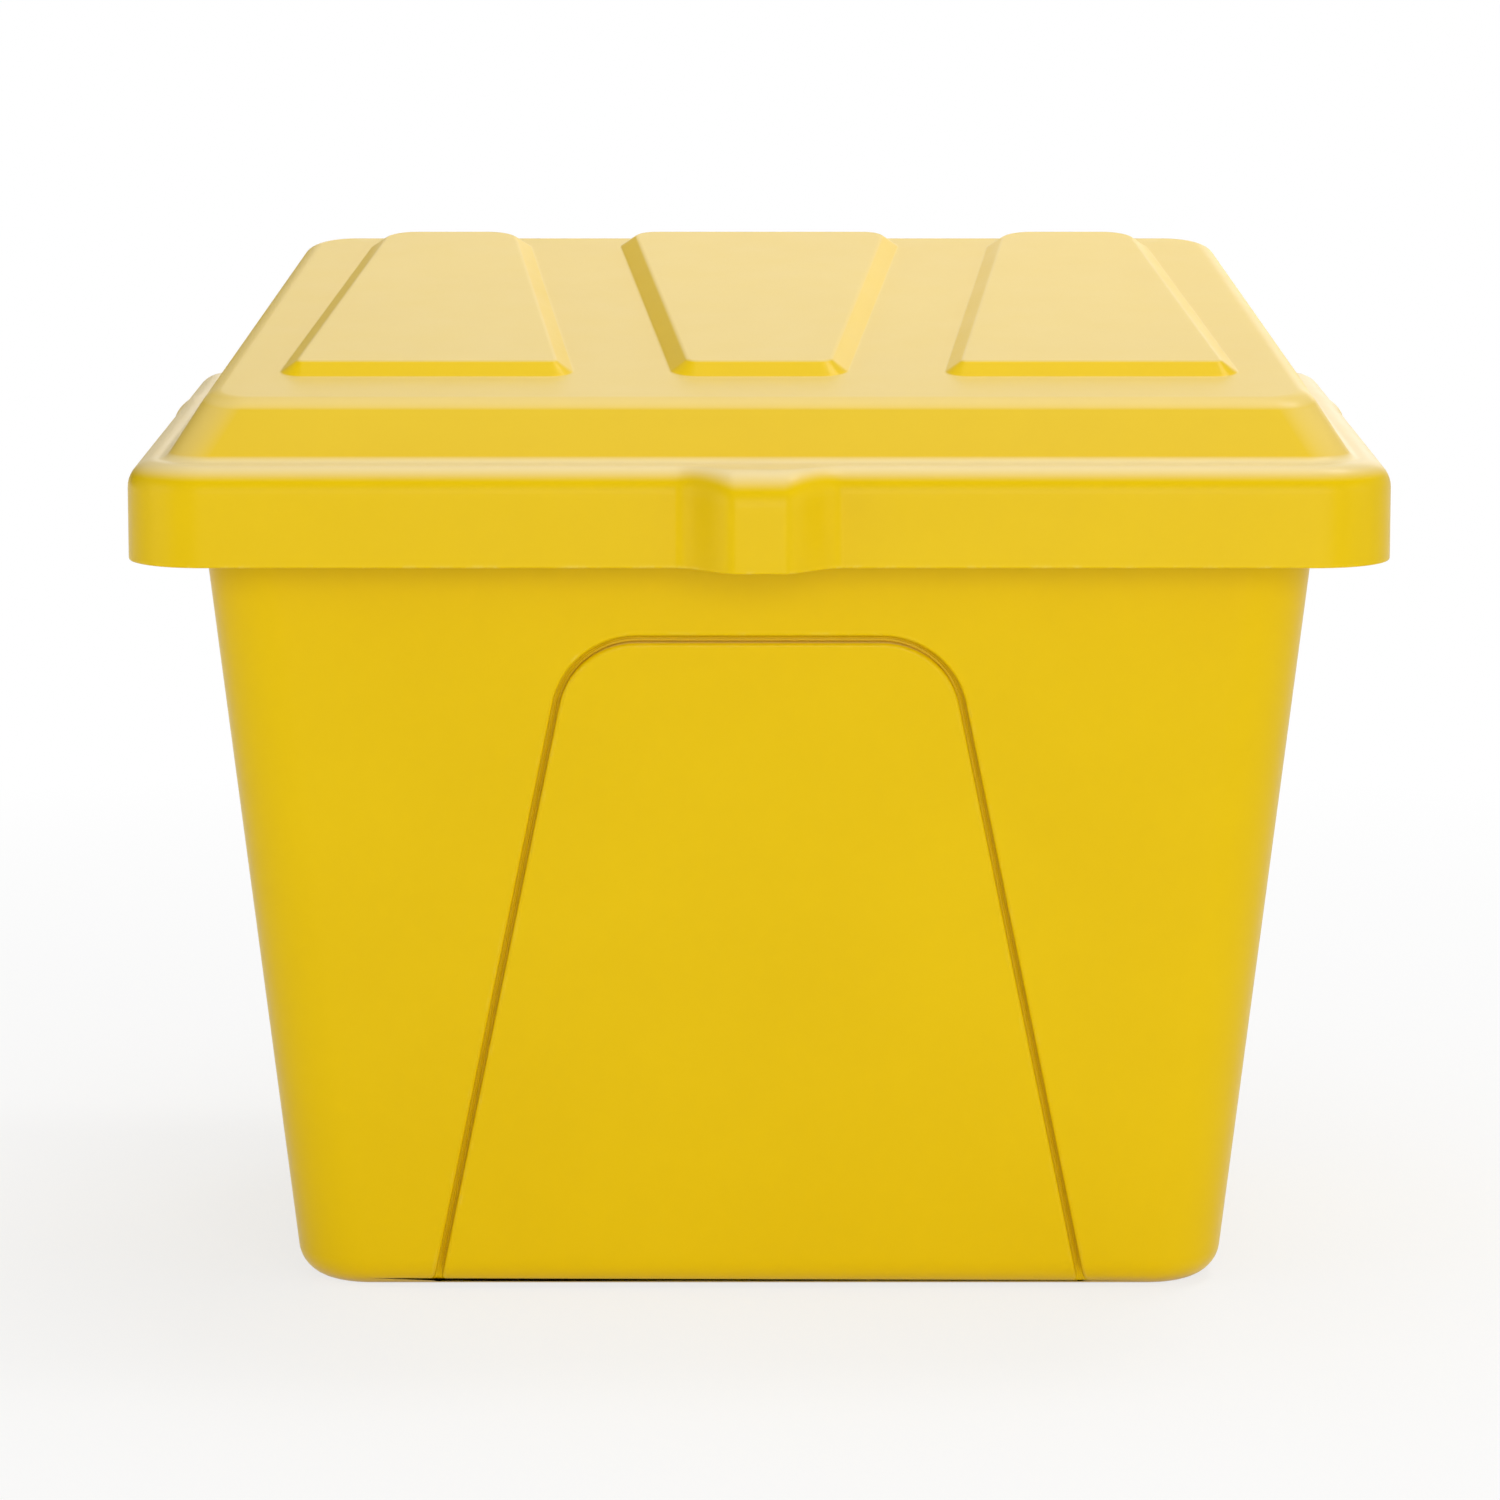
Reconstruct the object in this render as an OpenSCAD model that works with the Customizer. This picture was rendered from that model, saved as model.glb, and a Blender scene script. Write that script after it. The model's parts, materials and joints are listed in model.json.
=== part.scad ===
// Lidded storage bin: a tapered moulded tub and a deep skirted lid that swings up on two butt hinges.
// Millimetres. The origin is the middle of the base, +Z is up, and the front with its nose faces -Y.

/* [Lid] */
// Width of the lid across its skirt
lid_w = 840; // [740:5:940]
// Depth of the lid across its skirt, without the nose
lid_d = 642; // [560:2:760]
// Height of the skirt, from its lower edge to the ledge
skirt_h = 67; // [62:1:80]
// Corner radius of the skirt, seen from above
lid_corner_r = 52; // [44:1:70]
// Rounding between the skirt and the ledge
shoulder_r = 18; // [10:0.5:19]
// Width of the ledge, from the skirt's face to the foot of the raised wall
ledge_w = 25; // [22:1:30]
// Moulded wall of the lid
lid_wall = 5; // [3:0.5:6]

/* [Raised top] */
// Height of the raised top above the ledge, at its front edge
rise_front = 39.5; // [32:0.5:55]
// Height of the raised top above the ledge, at its back edge
rise_back = 106.5; // [85:0.5:125]
// Angle of the raised wall from the level
raised_angle = 57; // [48:1:70]
// Corner radius of the raised wall, seen from above
raised_corner_r = 26; // [22:1:40]
// Rounding at the foot of the raised wall
foot_r = 9.5; // [4:0.5:10]
// Rounding along the crest of the raised wall
crest_r = 14; // [7:0.5:15]

/* [Pads] */
// Height of the three pads above the raised top
pad_h = 8.5; // [6:0.5:14]
// Level run of the bevel round a pad
pad_bevel = 12; // [8:0.5:16]
// From the front crest of the raised top to the foot of the pads
pad_front_gap = 61; // [50:1:110]
// From the back crest of the raised top to the foot of the pads
pad_back_gap = 9.5; // [9:0.5:30]
// From the side crest of the raised top to the foot of the outer pads, at the front of the pads
pad_side_front = 38; // [30:1:60]
// From the side crest of the raised top to the foot of the outer pads, at the back of the pads
pad_side_back = 45; // [30:1:60]
// Width of the two channels between the pads, foot to foot
channel_w = 63; // [40:1:80]
// From the middle of the lid to the middle of a channel, at the front of the pads
channel_front_x = 91; // [80:1:110]
// From the middle of the lid to the middle of a channel, at the back of the pads
channel_back_x = 137; // [115:1:160]
// Corner radius of the pads at the front
pad_front_r = 14; // [8:1:20]
// Corner radius of the pads at the back
pad_back_r = 30; // [15:1:40]
// Rounding along the top edge of the pads
pad_edge_r = 5; // [2:0.5:8]

/* [Nose and side swellings] */
// Width of the lifting nose on the front of the skirt
nose_w = 112; // [80:1:160]
// How far the nose stands out of the skirt
nose_reach = 30; // [15:1:45]
// Width of each curved flank of the nose
nose_flank = 41; // [25:1:55]
// Rounding along the top of the nose, where it stands out most
nose_shoulder_r = 24; // [14:1:26]
// Length of the shallow swelling on each side of the skirt
swell_len = 84; // [40:1:120]
// How far the swelling stands out
swell_reach = 1.6; // [0.5:0.1:4]
// From the front of the skirt to the middle of the swelling
swell_back = 426; // [360:1:450]

/* [Tub] */
// Height of the tub, from the base to the top of its rim
tub_h = 574.7; // [480:0.1:680]
// Overhang of the skirt past the tub's wall, at the skirt's lower edge
overhang = 47.8; // [46:0.1:56]
// Lean of the tub's walls, from upright
draft = 6.2; // [3:0.01:8]
// Corner radius of the tub, seen from above
tub_corner_r = 50; // [42:1:75]
// Rounding of the edge round the base
base_edge_r = 24; // [12:1:36]
// Moulded wall of the tub
tub_wall = 5; // [3:0.5:6]
// Depth of the lip that turns down from the rim
lip_h = 18; // [12:1:22]
// Rounding along the rim
rim_edge_r = 3; // [1:0.5:4]
// Gap between the rim's lip and the inside of the skirt
rim_gap = 9; // [6:0.5:11]
// Gap under the lid, where it rests on the rim
seat_gap = 0.3; // [0.2:0.05:0.6]

/* [Arched groove] */
// Height of the arch, from the base to the middle of the groove's top run
arch_h = 460; // [380:1:480]
// Half of the arch's width at the base
arch_foot_x = 222; // [180:1:240]
// Half of the arch's width at the top, before its corners are rounded
arch_top_x = 127; // [110:1:160]
// Corner radius of the arch
arch_r = 56; // [30:1:80]
// Width of the groove at the wall's face
groove_w = 8; // [5:0.5:12]
// Depth of the groove
groove_d = 3.5; // [2:0.5:4]

/* [Hinges] */
// From the side of the lid to the middle of a hinge
hinge_inset = 200; // [170:5:260]
// Length of a hinge along its pin
leaf_w = 120; // [100:5:150]
// Height of a leaf, from the pin's middle to its free edge
leaf_h = 44; // [40:1:48]
// Thickness of a leaf
leaf_t = 3; // [2:0.25:4]
// Corner radius of a leaf
leaf_corner_r = 6; // [3:0.5:10]
// Diameter of the hinge pin
pin_d = 6; // [4:0.5:8]
// Radial running clearance between the pin and its knuckles
pin_fit = 0.05; // [0.02:0.01:0.1]
// Number of knuckles on a hinge
knuckle_count = 5; // [3:2:7]
// Gap between neighbouring knuckles
knuckle_gap = 0.4; // [0.3:0.1:1]
// From the lower edge of the skirt down to the pin's middle
hinge_drop = 10; // [8:0.5:14]
// How far the lid opens before it meets its stops
open_angle = 108; // [100:1:115]
// Width of each stop beside a hinge
stop_w = 16; // [10:1:24]
// How far the stops stand out behind the hinge plane
stop_reach = 30; // [24:1:40]
// Lean of the hinge bracket's underside, as height over reach
bracket_slope = 1.3; // [1:0.05:1.6]

/* [Fasteners] */
// Diameter of the bolts
bolt_d = 6; // [5:0.5:7]
// Number of bolts in a leaf
bolt_count = 3; // [2:1:4]
// Distance from bolt to bolt
bolt_pitch = 40; // [26:1:42]
// From the pin's middle to the row of bolts
bolt_row = 28; // [24:1:32]
// Diameter of a bolt's head
head_d = 11; // [9:0.5:14]
// Height of a bolt's domed head
head_h = 3; // [2:0.25:5]
// Diameter of the wide washers
washer_d = 18; // [14:0.5:22]
// Thickness of the washers
washer_t = 1.6; // [1:0.1:2.5]
// Width of a nut across its flats
nut_flats = 10; // [8.5:0.5:13]
// Height of a nut
nut_h = 6; // [4:0.5:8]

/* [Hidden] */
corner_steps = 8;
bend_steps = 4;
base_steps = 6;
edge_steps = 2;
nose_steps = 16;
swell_steps = 6;
round_fn = 48;
bolt_play = 0.3;
thread_play = 0.05;
bolt_end = 1.5;
stop_play = 0.3;
leaf_play = 4;
pin_head_h = 2.5;
pin_end_play = 0.2;
barrel_play = 0.6;
bracket_gap = 6;
bracket_edge = 6;
bracket_round = 8;
lift = 1;
cap_share = 0.6;
hollow_in = 20;
pad_least_r = 2;
plastic = [0.90, 0.76, 0.06];
zinc = [0.74, 0.75, 0.77];
steel = [0.62, 0.63, 0.66];

// Levels
ledge_z = tub_h + seat_gap + lid_wall;
skirt_z = ledge_z - skirt_h;
pin_z = skirt_z - hinge_drop;

// Raised top: its wall leans in by wall_run for each millimetre of height
wall_run = 1 / tan(raised_angle);
crest_front_y = -lid_d / 2 + ledge_w + wall_run * rise_front;
crest_back_y = lid_d / 2 - ledge_w - wall_run * rise_back;
top_slope = (rise_back - rise_front) / (crest_back_y - crest_front_y);
inner_foot = lid_wall * tan(raised_angle / 2);

// Rim
rim_inset = lid_wall + rim_gap;

// Hinges
back_y = lid_d / 2;
hinge_x = lid_w / 2 - hinge_inset;
knuckle_r = pin_d / 2 + leaf_t;
pin_y = back_y + knuckle_r + barrel_play;
plate_start = knuckle_r + lift;
knuckle_pitch = leaf_w / knuckle_count;
pin_head_d = pin_d + leaf_t;
bracket_w = leaf_w + 2 * (leaf_play + stop_w);
bracket_top = skirt_z - bracket_gap;
bracket_low = pin_z - leaf_h - bracket_edge;

// Unit vector along v
function unit(v) = v / norm(v);

// Smooth step from 0 to 1
function ease(t) = let (u = min(1, max(0, t))) u * u * (3 - 2 * u);

// Points of the arc of radius r that rounds the corner p between a and b
function corner_arc(a, p, b, r, steps) =
  let (
    u = unit(a - p),
    v = unit(b - p),
    half = acos(u * v) / 2,
    middle = p + unit(u + v) * r / sin(half),
    first = p + u * r / tan(half) - middle,
    last = p + v * r / tan(half) - middle,
    turn = 180 - 2 * half
  )
  [for (i = [0:steps])
    middle + (sin((1 - i / steps) * turn) * first + sin(i / steps * turn) * last) / sin(turn)];

// Point on the edge from p to q where its coordinate along the axis has the given value
function on_edge(p, q, axis, value) = p + (q - p) * (value - p[axis]) / (q[axis] - p[axis]);

// Ring of points round four corners, which run front left, front right, back right, back left.
// Extra points stand at the given x along the front, and at the given y along both sides.
function ring(c, front_r, back_r, front_x = [], side_y = [], steps = corner_steps) = concat(
  corner_arc(c[3], c[0], c[1], front_r, steps),
  [for (x = front_x) on_edge(c[0], c[1], 0, x)],
  corner_arc(c[0], c[1], c[2], front_r, steps),
  [for (y = side_y) on_edge(c[1], c[2], 1, y)],
  corner_arc(c[1], c[2], c[3], back_r, steps),
  corner_arc(c[2], c[3], c[0], back_r, steps),
  [for (k = [len(side_y) - 1:-1:0]) on_edge(c[3], c[0], 1, side_y[k])]
);

// Corners of a level rectangle with the given half sizes
function level_corners(half, z) = [
  [-half.x, -half.y, z], [half.x, -half.y, z], [half.x, half.y, z], [-half.x, half.y, z]
];

// Closed solid through columns of points that stand side by side round a loop
module loft(columns) {
  n = len(columns);
  m = len(columns[0]);
  start = [for (c = columns) 1] * [for (c = columns) c[0]] / n;
  end = [for (c = columns) 1] * [for (c = columns) c[m - 1]] / n;
  sides = [for (i = [0:n - 1], j = [0:m - 2])
    let (a = i * m + j, b = (i + 1) % n * m + j)
    each [[a, b, b + 1], [a, b + 1, a + 1]]];
  caps = [for (i = [0:n - 1])
    let (a = i * m, b = (i + 1) % n * m)
    each [[n * m, b, a], [n * m + 1, a + m - 1, b + m - 1]]];
  polyhedron(concat([for (c = columns) each c], [start, end]), concat(sides, caps));
}

// Height of the raised top above the ledge, at a place y
function rise(y) = rise_front + top_slope * (y - crest_front_y);

// How far the nose stands out at a place x, and the swelling at a place y
function nose(x) = nose_reach * ease((nose_w / 2 - abs(x)) / nose_flank);
function swell(y) =
  let (from_middle = abs(y + lid_d / 2 - swell_back) / (swell_len / 2))
  from_middle < 1 ? swell_reach * (1 + cos(180 * from_middle)) / 2 : 0;

nose_x = [for (i = [0:nose_steps]) nose_w * (i / nose_steps - 0.5)];
swell_y = [for (i = [0:swell_steps]) swell_back - lid_d / 2 + swell_len * (i / swell_steps - 0.5)];

// Skirt ring, set in from the skirt's face, with its nose and swellings
function skirt_ring(inset, z) =
  [for (p = ring(level_corners([lid_w / 2 - inset, lid_d / 2 - inset], z),
                 lid_corner_r - inset, lid_corner_r - inset, nose_x, swell_y))
    p + [sign(p.x) * swell(p.y), p.y < 0 ? -nose(p.x) : 0, 0]];

// Ring at the foot of the raised wall
function foot_ring(inset, z) =
  ring(level_corners([lid_w / 2 - inset, lid_d / 2 - inset], z),
       raised_corner_r, raised_corner_r, nose_x, swell_y);

// Ring on the raised top, sunk under its face and set in from the crest of a wall that starts at the foot
function crest_ring(foot, sunk, inset, r) =
  let (
    half_x = function (y) lid_w / 2 - foot - wall_run * (rise(y) - sunk) - inset,
    front_y = -lid_d / 2 + foot + wall_run * (rise_front - sunk) + inset,
    end_y = lid_d / 2 - foot - wall_run * (rise_back - sunk) - inset,
    corner = function (side, y) [side * half_x(y), y, ledge_z + rise(y) - sunk]
  )
  ring([corner(-1, front_y), corner(1, front_y), corner(1, end_y), corner(-1, end_y)],
       r, r, nose_x, swell_y);

module lid_shell() {
  top_set = raised_corner_r * cap_share;
  inner_top = ledge_w + inner_foot + wall_run * lid_wall;
  outer_top_ring = crest_ring(ledge_w, 0, top_set, raised_corner_r - top_set);
  outer_crest = crest_ring(ledge_w, 0, 0, raised_corner_r);
  outer_foot = foot_ring(ledge_w, ledge_z);
  outer_shoulder = skirt_ring(0, ledge_z);
  outer_edge = skirt_ring(0, skirt_z);
  inner_edge = skirt_ring(lid_wall, skirt_z);
  inner_shoulder = skirt_ring(lid_wall, ledge_z - lid_wall);
  inner_foot_ring = foot_ring(ledge_w + inner_foot, ledge_z - lid_wall);
  inner_crest = crest_ring(inner_top, lid_wall, 0, raised_corner_r);
  inner_top_ring = crest_ring(inner_top, lid_wall, top_set, raised_corner_r - top_set);
  shoulder = [for (p = outer_edge)
    shoulder_r + (p.y < 0 ? nose(p.x) / nose_reach * (nose_shoulder_r - shoulder_r) : 0)];
  loft([for (i = [0:len(outer_edge) - 1]) concat(
    corner_arc(outer_top_ring[i], outer_crest[i], outer_foot[i], crest_r, bend_steps),
    corner_arc(outer_crest[i], outer_foot[i], outer_shoulder[i], foot_r, bend_steps),
    corner_arc(outer_foot[i], outer_shoulder[i], outer_edge[i], shoulder[i], bend_steps),
    [outer_edge[i], inner_edge[i]],
    corner_arc(inner_edge[i], inner_shoulder[i], inner_foot_ring[i],
               max(1, shoulder[i] - lid_wall), bend_steps),
    corner_arc(inner_shoulder[i], inner_foot_ring[i], inner_crest[i], foot_r + lid_wall, bend_steps),
    corner_arc(inner_foot_ring[i], inner_crest[i], inner_top_ring[i],
               max(1, crest_r - lid_wall), bend_steps)
  )]);
}

// Foot of a pad: its left and right edges at the front and at the back of the pads
pad_front_y = crest_front_y + pad_front_gap;
pad_end_y = crest_back_y - pad_back_gap;
function side_foot(y, gap) = lid_w / 2 - ledge_w - wall_run * rise(y) - gap;
middle_pad = [[-1, 1] * (channel_front_x - channel_w / 2), [-1, 1] * (channel_back_x - channel_w / 2)];
right_pad = [
  [channel_front_x + channel_w / 2, side_foot(pad_front_y, pad_side_front)],
  [channel_back_x + channel_w / 2, side_foot(pad_end_y, pad_side_back)]
];
left_pad = [-[right_pad[0][1], right_pad[0][0]], -[right_pad[1][1], right_pad[1][0]]];

// Ring round a pad, set in from its foot, at a height above the raised top
function pad_ring(pad, inset, h) =
  let (
    place = function (x, y) [x, y, ledge_z + rise(y) + h],
    front_y = pad_front_y + inset,
    end_y = pad_end_y - inset
  )
  ring([place(pad[0][0] + inset, front_y), place(pad[0][1] - inset, front_y),
        place(pad[1][1] - inset, end_y), place(pad[1][0] + inset, end_y)],
       max(pad_least_r, pad_front_r - inset), max(pad_least_r, pad_back_r - inset), steps = bend_steps);

// Block of a pad, sunk under its own face and drawn in by the same wall
module pad_block(pad, sunk) {
  inset = sunk * tan(atan(pad_h / pad_bevel) / 2);
  top = pad_ring(pad, inset + 2 * pad_bevel, pad_h - sunk);
  crest = pad_ring(pad, inset + pad_bevel, pad_h - sunk);
  root = pad_ring(pad, inset - lift * pad_bevel / pad_h, -sunk - lift);
  loft([for (i = [0:len(crest) - 1]) concat(
    corner_arc(top[i], crest[i], root[i], pad_edge_r, edge_steps),
    [root[i]]
  )]);
}

// Half sizes of the tub's outside at a height z
function tub_half(z) =
  let (lean = (skirt_z - z) * tan(draft) + overhang)
  [lid_w / 2 - lean, lid_d / 2 - lean];

module tub_shell() {
  rim_half = [lid_w / 2 - rim_inset, lid_d / 2 - rim_inset];
  rim_r = tub_corner_r + rim_half.x - tub_half(tub_h).x;
  wall = [tub_wall, tub_wall] / cos(draft);
  inset = [1, 1] * tub_corner_r * cap_share;
  inner_r = tub_corner_r - tub_wall;
  floor_ring = ring(level_corners(tub_half(tub_wall) - wall - inset, tub_wall),
                    inner_r - inset.x, inner_r - inset.x);
  inner_edge = ring(level_corners(tub_half(tub_wall) - wall, tub_wall), inner_r, inner_r);
  inner_rim = ring(level_corners(tub_half(tub_h) - wall, tub_h), inner_r, inner_r);
  outer_rim = ring(level_corners(rim_half, tub_h), rim_r, rim_r);
  lip_outer = ring(level_corners(rim_half, tub_h - lip_h), rim_r, rim_r);
  lip_inner = ring(level_corners(rim_half - wall, tub_h - lip_h), rim_r - tub_wall, rim_r - tub_wall);
  lip_root = ring(level_corners(rim_half - wall, tub_h - tub_wall), rim_r - tub_wall, rim_r - tub_wall);
  wall_top = ring(level_corners(tub_half(tub_h - tub_wall), tub_h - tub_wall), tub_corner_r, tub_corner_r);
  base_edge = ring(level_corners(tub_half(0), 0), tub_corner_r, tub_corner_r);
  base_ring = ring(level_corners(tub_half(0) - inset, 0), tub_corner_r - inset.x, tub_corner_r - inset.x);
  loft([for (i = [0:len(base_edge) - 1]) concat(
    corner_arc(floor_ring[i], inner_edge[i], inner_rim[i], max(1, base_edge_r - tub_wall), bend_steps),
    corner_arc(inner_edge[i], inner_rim[i], outer_rim[i], rim_edge_r, edge_steps),
    corner_arc(inner_rim[i], outer_rim[i], lip_outer[i], rim_edge_r, edge_steps),
    [lip_outer[i], lip_inner[i], lip_root[i], wall_top[i]],
    corner_arc(wall_top[i], base_edge[i], base_ring[i], base_edge_r, base_steps)
  )]);
}

// Plane of the tub's front wall: x across, y up the wall, z out of its face
module on_front_wall() {
  translate([0, -tub_half(0).y, 0]) rotate([90 + draft, 0, 0]) children();
}

// Area under the arch, grown by g on every side and starting at a height up the wall
module arch_area(g, start) {
  lean = (arch_foot_x - arch_top_x) / arch_h;
  edge = function (v) arch_foot_x + g * sqrt(1 + lean * lean) - lean * v;
  top = arch_h + g;
  low = [edge(start), start];
  corner = [edge(top), top];
  right = corner_arc(low, corner, [0, top], arch_r + g, corner_steps);
  left = [for (i = [len(right) - 1:-1:0]) [-right[i].x, right[i].y]];
  polygon(concat([low], right, left, [[-low.x, low.y]]));
}

// Band of the given width along the arch, cut to a depth from a level out of the wall
module arch_band(width, level, depth, start) {
  on_front_wall() translate([0, 0, level - depth]) linear_extrude(depth) difference() {
    arch_area(width / 2, start);
    arch_area(-width / 2, start - lift);
  }
}

// Moulds a profile of y and z along x, over a width about the middle of a hinge
module along_hinge(width) {
  rotate([90, 0, 90]) linear_extrude(width, center = true) children();
}

// Profile of the hollow bracket that carries a hinge, from inside the tub's wall to the hinge plane
module bracket_profile() {
  low_y = tub_half(bracket_low).y;
  foot_z = bracket_low - bracket_slope * (back_y - low_y);
  top_inner = [tub_half(bracket_top).y - tub_wall / 2, bracket_top];
  top_outer = [back_y, bracket_top];
  low_outer = [back_y, bracket_low];
  foot = [tub_half(foot_z).y - tub_wall / 2, foot_z];
  bend = corner_arc(top_outer, low_outer, foot, bracket_round, bend_steps);
  polygon(concat([top_inner, top_outer], bend, [foot]));
}

// Profile of the bracket's hollow, which is open to the inside of the tub
module bracket_hollow_profile() {
  low_y = tub_half(bracket_low).y;
  face = back_y - tub_wall;
  slant = tub_wall * (sqrt(1 + bracket_slope * bracket_slope) - bracket_slope);
  inner_y = low_y - hollow_in;
  low_z = bracket_low + slant;
  polygon([
    [inner_y, bracket_top - tub_wall], [face, bracket_top - tub_wall],
    [face, low_z], [inner_y, low_z - bracket_slope * (face - inner_y)]
  ]);
}

// Profile of the stops beside a hinge: the skirt's back lies on their sloping tops when the lid is open
module stop_profile() {
  arm = pin_y - back_y - stop_play;
  stop_z = function (y) pin_z + ((y - pin_y) * cos(open_angle) + arm) / sin(open_angle);
  flat_end = pin_y + ((bracket_top - pin_z) * sin(open_angle) - arm) / cos(open_angle);
  tip = back_y + stop_reach;
  low_z = bracket_low + bracket_round;
  polygon([
    [back_y - lift, bracket_top], [flat_end, bracket_top], [tip, stop_z(tip)],
    [tip, stop_z(tip) - stop_w], [back_y, low_z], [back_y - lift, low_z]
  ]);
}

// Places its children at the middle of the left or right hinge
module at_hinge(side) {
  translate([side * hinge_x, 0, 0]) children();
}

// Repeats its children along a leaf's row of bolts, facing out of the hinge plane
module at_bolts(side, up) {
  at_hinge(side) for (i = [0:bolt_count - 1])
    translate([(i - (bolt_count - 1) / 2) * bolt_pitch, back_y, pin_z + up * bolt_row])
      rotate([-90, 0, 0]) children();
}

module bolt_holes(side, up) {
  reach = lid_wall + tub_wall + leaf_t;
  at_bolts(side, up) translate([0, 0, -reach])
    cylinder(h = 2 * reach, d = bolt_d + 2 * bolt_play, $fn = round_fn);
}

module bin_body() {
  color(plastic) difference() {
    union() {
      tub_shell();
      arch_band(groove_w + 2 * tub_wall, -tub_wall / 2, tub_wall / 2 + groove_d, base_edge_r);
      for (side = [-1, 1]) at_hinge(side) {
        along_hinge(bracket_w) bracket_profile();
        for (end = [-1, 1]) translate([end * (bracket_w - stop_w) / 2, 0, 0])
          along_hinge(stop_w) stop_profile();
      }
    }
    arch_band(groove_w, lift, lift + groove_d / 2, -base_edge_r);
    arch_band(groove_w / 2, lift, lift + groove_d, -base_edge_r);
    for (side = [-1, 1]) {
      at_hinge(side) along_hinge(bracket_w - 2 * tub_wall) bracket_hollow_profile();
      bolt_holes(side, -1);
    }
  }
}

module lid() {
  color(plastic) difference() {
    union() {
      lid_shell();
      for (pad = [left_pad, middle_pad, right_pad]) pad_block(pad, 0);
    }
    for (pad = [left_pad, middle_pad, right_pad]) pad_block(pad, lid_wall);
    for (side = [-1, 1]) bolt_holes(side, 1);
  }
}

// One leaf of a hinge: up is 1 for the lid's leaf and -1 for the body's
module leaf(side, up) {
  first = up > 0 ? 1 : 0;
  free = leaf_h - leaf_corner_r;
  difference() {
    at_hinge(side) translate([0, back_y, pin_z]) {
      rotate([90, 0, 0]) mirror([0, up > 0 ? 0 : 1, 0]) translate([0, 0, -leaf_t]) linear_extrude(leaf_t) {
        translate([-leaf_w / 2, plate_start]) square([leaf_w, free - plate_start]);
        translate([leaf_corner_r - leaf_w / 2, free]) square([leaf_w - 2 * leaf_corner_r, leaf_corner_r]);
        for (end = [-1, 1]) translate([end * (leaf_w / 2 - leaf_corner_r), free])
          circle(leaf_corner_r, $fn = round_fn);
      }
      for (k = [first:2:knuckle_count - 1])
        translate([(k + 0.5) * knuckle_pitch - leaf_w / 2, 0, 0]) {
          length = knuckle_pitch - knuckle_gap;
          translate([-length / 2, 0, up > 0 ? 0 : -plate_start - lift])
            cube([length, leaf_t, plate_start + lift]);
          translate([0, pin_y - back_y, 0]) rotate([0, 90, 0])
            cylinder(h = length, r = knuckle_r, center = true, $fn = round_fn);
        }
    }
    at_hinge(side) translate([0, pin_y, pin_z]) rotate([0, 90, 0])
      cylinder(h = 2 * leaf_w, d = pin_d + 2 * pin_fit, center = true, $fn = round_fn);
    bolt_holes(side, up);
  }
}

// Domed head of the given size, standing on the plane z = 0
module dome(d, h) {
  r = (d * d / 4 + h * h) / (2 * h);
  rotate_extrude($fn = round_fn) intersection() {
    square([d / 2, h]);
    translate([0, h - r]) circle(r, $fn = 4 * round_fn);
  }
}

module pin(side) {
  half = leaf_w / 2 + pin_end_play;
  color(steel) at_hinge(side) translate([0, pin_y, pin_z]) rotate([0, 90, 0]) {
    cylinder(h = 2 * half, d = pin_d, center = true, $fn = round_fn);
    for (end = [0, 1]) mirror([0, 0, end]) translate([0, 0, half]) dome(pin_head_d, pin_head_h);
  }
}

module bolts(side, up, wall) {
  length = leaf_t + wall + washer_t + nut_h + bolt_end;
  color(steel) at_bolts(side, up) translate([0, 0, leaf_t]) {
    translate([0, 0, -length]) cylinder(h = length, d = bolt_d, $fn = round_fn);
    dome(head_d, head_h);
  }
}

module washers(side, up, wall) {
  color(zinc) at_bolts(side, up) translate([0, 0, -wall - washer_t]) difference() {
    cylinder(h = washer_t, d = washer_d, $fn = round_fn);
    translate([0, 0, -lift]) cylinder(h = washer_t + 2 * lift, d = bolt_d + 2 * bolt_play, $fn = round_fn);
  }
}

module nuts(side, up, wall) {
  color(steel) at_bolts(side, up) translate([0, 0, -wall - washer_t - nut_h]) difference() {
    cylinder(h = nut_h, d = nut_flats / cos(30), $fn = 6);
    translate([0, 0, -lift]) cylinder(h = nut_h + 2 * lift, d = bolt_d + 2 * thread_play, $fn = round_fn);
  }
}

module body_leaf(side) { color(zinc) leaf(side, -1); }
module lid_leaf(side) { color(zinc) leaf(side, 1); }

bin_body();
lid();
body_leaf(-1);  // left_hinge_body_leaf
lid_leaf(-1);  // left_hinge_lid_leaf
pin(-1);  // left_hinge_pin
bolts(-1, 1, lid_wall);  // left_lid_leaf_bolts
washers(-1, 1, lid_wall);  // left_lid_leaf_washers
nuts(-1, 1, lid_wall);  // left_lid_leaf_nuts
bolts(-1, -1, tub_wall);  // left_body_leaf_bolts
washers(-1, -1, tub_wall);  // left_body_leaf_washers
nuts(-1, -1, tub_wall);  // left_body_leaf_nuts
body_leaf(1);  // right_hinge_body_leaf
lid_leaf(1);  // right_hinge_lid_leaf
pin(1);  // right_hinge_pin
bolts(1, 1, lid_wall);  // right_lid_leaf_bolts
washers(1, 1, lid_wall);  // right_lid_leaf_washers
nuts(1, 1, lid_wall);  // right_lid_leaf_nuts
bolts(1, -1, tub_wall);  // right_body_leaf_bolts
washers(1, -1, tub_wall);  // right_body_leaf_washers
nuts(1, -1, tub_wall);  // right_body_leaf_nuts
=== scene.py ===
import json
from math import atan2, cos, pi, radians, sin, tan

import bmesh
import bpy
from bpy.props import FloatProperty, FloatVectorProperty, IntProperty, PointerProperty
from mathutils import Matrix, Vector


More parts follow.
